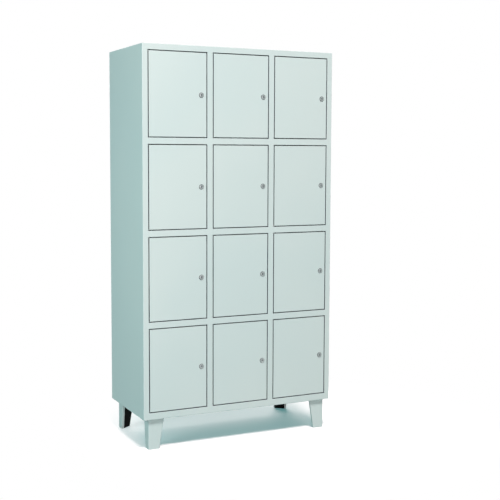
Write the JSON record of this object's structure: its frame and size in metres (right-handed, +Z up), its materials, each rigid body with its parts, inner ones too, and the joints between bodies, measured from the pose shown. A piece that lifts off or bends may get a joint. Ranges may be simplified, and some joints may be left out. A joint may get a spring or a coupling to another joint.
{
  "type": "metal locker",
  "caption": "Free-standing sheet-steel locker with rows of flush lockable compartment doors on four tapered pressed-steel feet.",
  "frame": {"origin": "on the floor under the middle of the locker, at the centre of its bounding box", "axes": "+Z up, -Y out of the fronts of the doors, +X to the right of someone facing the doors"},
  "size_m": [1.028, 0.497, 1.95],
  "materials": {
    "paint": "pale grey-green powder coat, satin, with a fine even texture",
    "lock_chrome": "bright chrome",
    "lock_plated": "satin nickel plate",
    "foot_block": "black, matt"
  },
  "bodies": {
    "carcass": {"side_panel_left": "paint", "side_panel_right": "paint", "top_panel": "paint", "bottom_panel": "paint", "back_panel": "paint", "partition_c1": "paint", "partition_c2": "paint", "shelf_r1c1": "paint", "shelf_r1c2": "paint", "shelf_r1c3": "paint", "shelf_r2c1": "paint", "shelf_r2c2": "paint", "shelf_r2c3": "paint", "shelf_r3c1": "paint", "shelf_r3c2": "paint", "shelf_r3c3": "paint", "foot_front_left": "paint", "foot_front_right": "paint", "foot_back_left": "paint", "foot_back_right": "paint", "foot_block_front_left": "foot_block", "foot_block_front_right": "foot_block", "foot_block_back_left": "foot_block", "foot_block_back_right": "foot_block"},
    "door_r1c1": {"door_r1c1": "paint", "lock_housing_r1c1": "lock_chrome"},
    "plug_r1c1": {"lock_plug_r1c1": "lock_plated"},
    "door_r1c2": {"door_r1c2": "paint", "lock_housing_r1c2": "lock_chrome"},
    "plug_r1c2": {"lock_plug_r1c2": "lock_plated"},
    "door_r1c3": {"door_r1c3": "paint", "lock_housing_r1c3": "lock_chrome"},
    "plug_r1c3": {"lock_plug_r1c3": "lock_plated"},
    "door_r2c1": {"door_r2c1": "paint", "lock_housing_r2c1": "lock_chrome"},
    "plug_r2c1": {"lock_plug_r2c1": "lock_plated"},
    "door_r2c2": {"door_r2c2": "paint", "lock_housing_r2c2": "lock_chrome"},
    "plug_r2c2": {"lock_plug_r2c2": "lock_plated"},
    "door_r2c3": {"door_r2c3": "paint", "lock_housing_r2c3": "lock_chrome"},
    "plug_r2c3": {"lock_plug_r2c3": "lock_plated"},
    "door_r3c1": {"door_r3c1": "paint", "lock_housing_r3c1": "lock_chrome"},
    "plug_r3c1": {"lock_plug_r3c1": "lock_plated"},
    "door_r3c2": {"door_r3c2": "paint", "lock_housing_r3c2": "lock_chrome"},
    "plug_r3c2": {"lock_plug_r3c2": "lock_plated"},
    "door_r3c3": {"door_r3c3": "paint", "lock_housing_r3c3": "lock_chrome"},
    "plug_r3c3": {"lock_plug_r3c3": "lock_plated"},
    "door_r4c1": {"door_r4c1": "paint", "lock_housing_r4c1": "lock_chrome"},
    "plug_r4c1": {"lock_plug_r4c1": "lock_plated"},
    "door_r4c2": {"door_r4c2": "paint", "lock_housing_r4c2": "lock_chrome"},
    "plug_r4c2": {"lock_plug_r4c2": "lock_plated"},
    "door_r4c3": {"door_r4c3": "paint", "lock_housing_r4c3": "lock_chrome"},
    "plug_r4c3": {"lock_plug_r4c3": "lock_plated"}
  },
  "joints": [
    {"name": "door_r1c1_hinge", "type": "hinge", "parent": "carcass", "child": "door_r1c1", "pos_m": [-0.473, -0.2405, 1.7155], "axis": [0, 0, -1], "range_deg": [0, 110]},
    {"name": "lock_r1c1_turn", "type": "hinge", "parent": "door_r1c1", "child": "plug_r1c1", "pos_m": [-0.213, -0.2465, 1.7155], "axis": [0, -1, 0], "range_deg": [0, 90]},
    {"name": "door_r1c2_hinge", "type": "hinge", "parent": "carcass", "child": "door_r1c2", "pos_m": [-0.139, -0.2405, 1.7155], "axis": [0, 0, -1], "range_deg": [0, 110]},
    {"name": "lock_r1c2_turn", "type": "hinge", "parent": "door_r1c2", "child": "plug_r1c2", "pos_m": [0.121, -0.2465, 1.7155], "axis": [0, -1, 0], "range_deg": [0, 90]},
    {"name": "door_r1c3_hinge", "type": "hinge", "parent": "carcass", "child": "door_r1c3", "pos_m": [0.195, -0.2405, 1.7155], "axis": [0, 0, -1], "range_deg": [0, 110]},
    {"name": "lock_r1c3_turn", "type": "hinge", "parent": "door_r1c3", "child": "plug_r1c3", "pos_m": [0.455, -0.2465, 1.7155], "axis": [0, -1, 0], "range_deg": [0, 90]},
    {"name": "door_r2c1_hinge", "type": "hinge", "parent": "carcass", "child": "door_r2c1", "pos_m": [-0.473, -0.2405, 1.2735], "axis": [0, 0, -1], "range_deg": [0, 110]},
    {"name": "lock_r2c1_turn", "type": "hinge", "parent": "door_r2c1", "child": "plug_r2c1", "pos_m": [-0.213, -0.2465, 1.2735], "axis": [0, -1, 0], "range_deg": [0, 90]},
    {"name": "door_r2c2_hinge", "type": "hinge", "parent": "carcass", "child": "door_r2c2", "pos_m": [-0.139, -0.2405, 1.2735], "axis": [0, 0, -1], "range_deg": [0, 110]},
    {"name": "lock_r2c2_turn", "type": "hinge", "parent": "door_r2c2", "child": "plug_r2c2", "pos_m": [0.121, -0.2465, 1.2735], "axis": [0, -1, 0], "range_deg": [0, 90]},
    {"name": "door_r2c3_hinge", "type": "hinge", "parent": "carcass", "child": "door_r2c3", "pos_m": [0.195, -0.2405, 1.2735], "axis": [0, 0, -1], "range_deg": [0, 110]},
    {"name": "lock_r2c3_turn", "type": "hinge", "parent": "door_r2c3", "child": "plug_r2c3", "pos_m": [0.455, -0.2465, 1.2735], "axis": [0, -1, 0], "range_deg": [0, 90]},
    {"name": "door_r3c1_hinge", "type": "hinge", "parent": "carcass", "child": "door_r3c1", "pos_m": [-0.473, -0.2405, 0.8315], "axis": [0, 0, -1], "range_deg": [0, 110]},
    {"name": "lock_r3c1_turn", "type": "hinge", "parent": "door_r3c1", "child": "plug_r3c1", "pos_m": [-0.213, -0.2465, 0.8315], "axis": [0, -1, 0], "range_deg": [0, 90]},
    {"name": "door_r3c2_hinge", "type": "hinge", "parent": "carcass", "child": "door_r3c2", "pos_m": [-0.139, -0.2405, 0.8315], "axis": [0, 0, -1], "range_deg": [0, 110]},
    {"name": "lock_r3c2_turn", "type": "hinge", "parent": "door_r3c2", "child": "plug_r3c2", "pos_m": [0.121, -0.2465, 0.8315], "axis": [0, -1, 0], "range_deg": [0, 90]},
    {"name": "door_r3c3_hinge", "type": "hinge", "parent": "carcass", "child": "door_r3c3", "pos_m": [0.195, -0.2405, 0.8315], "axis": [0, 0, -1], "range_deg": [0, 110]},
    {"name": "lock_r3c3_turn", "type": "hinge", "parent": "door_r3c3", "child": "plug_r3c3", "pos_m": [0.455, -0.2465, 0.8315], "axis": [0, -1, 0], "range_deg": [0, 90]},
    {"name": "door_r4c1_hinge", "type": "hinge", "parent": "carcass", "child": "door_r4c1", "pos_m": [-0.473, -0.2405, 0.3895], "axis": [0, 0, -1], "range_deg": [0, 110]},
    {"name": "lock_r4c1_turn", "type": "hinge", "parent": "door_r4c1", "child": "plug_r4c1", "pos_m": [-0.213, -0.2465, 0.3895], "axis": [0, -1, 0], "range_deg": [0, 90]},
    {"name": "door_r4c2_hinge", "type": "hinge", "parent": "carcass", "child": "door_r4c2", "pos_m": [-0.139, -0.2405, 0.3895], "axis": [0, 0, -1], "range_deg": [0, 110]},
    {"name": "lock_r4c2_turn", "type": "hinge", "parent": "door_r4c2", "child": "plug_r4c2", "pos_m": [0.121, -0.2465, 0.3895], "axis": [0, -1, 0], "range_deg": [0, 90]},
    {"name": "door_r4c3_hinge", "type": "hinge", "parent": "carcass", "child": "door_r4c3", "pos_m": [0.195, -0.2405, 0.3895], "axis": [0, 0, -1], "range_deg": [0, 110]},
    {"name": "lock_r4c3_turn", "type": "hinge", "parent": "door_r4c3", "child": "plug_r4c3", "pos_m": [0.455, -0.2465, 0.3895], "axis": [0, -1, 0], "range_deg": [0, 90]}
  ]
}
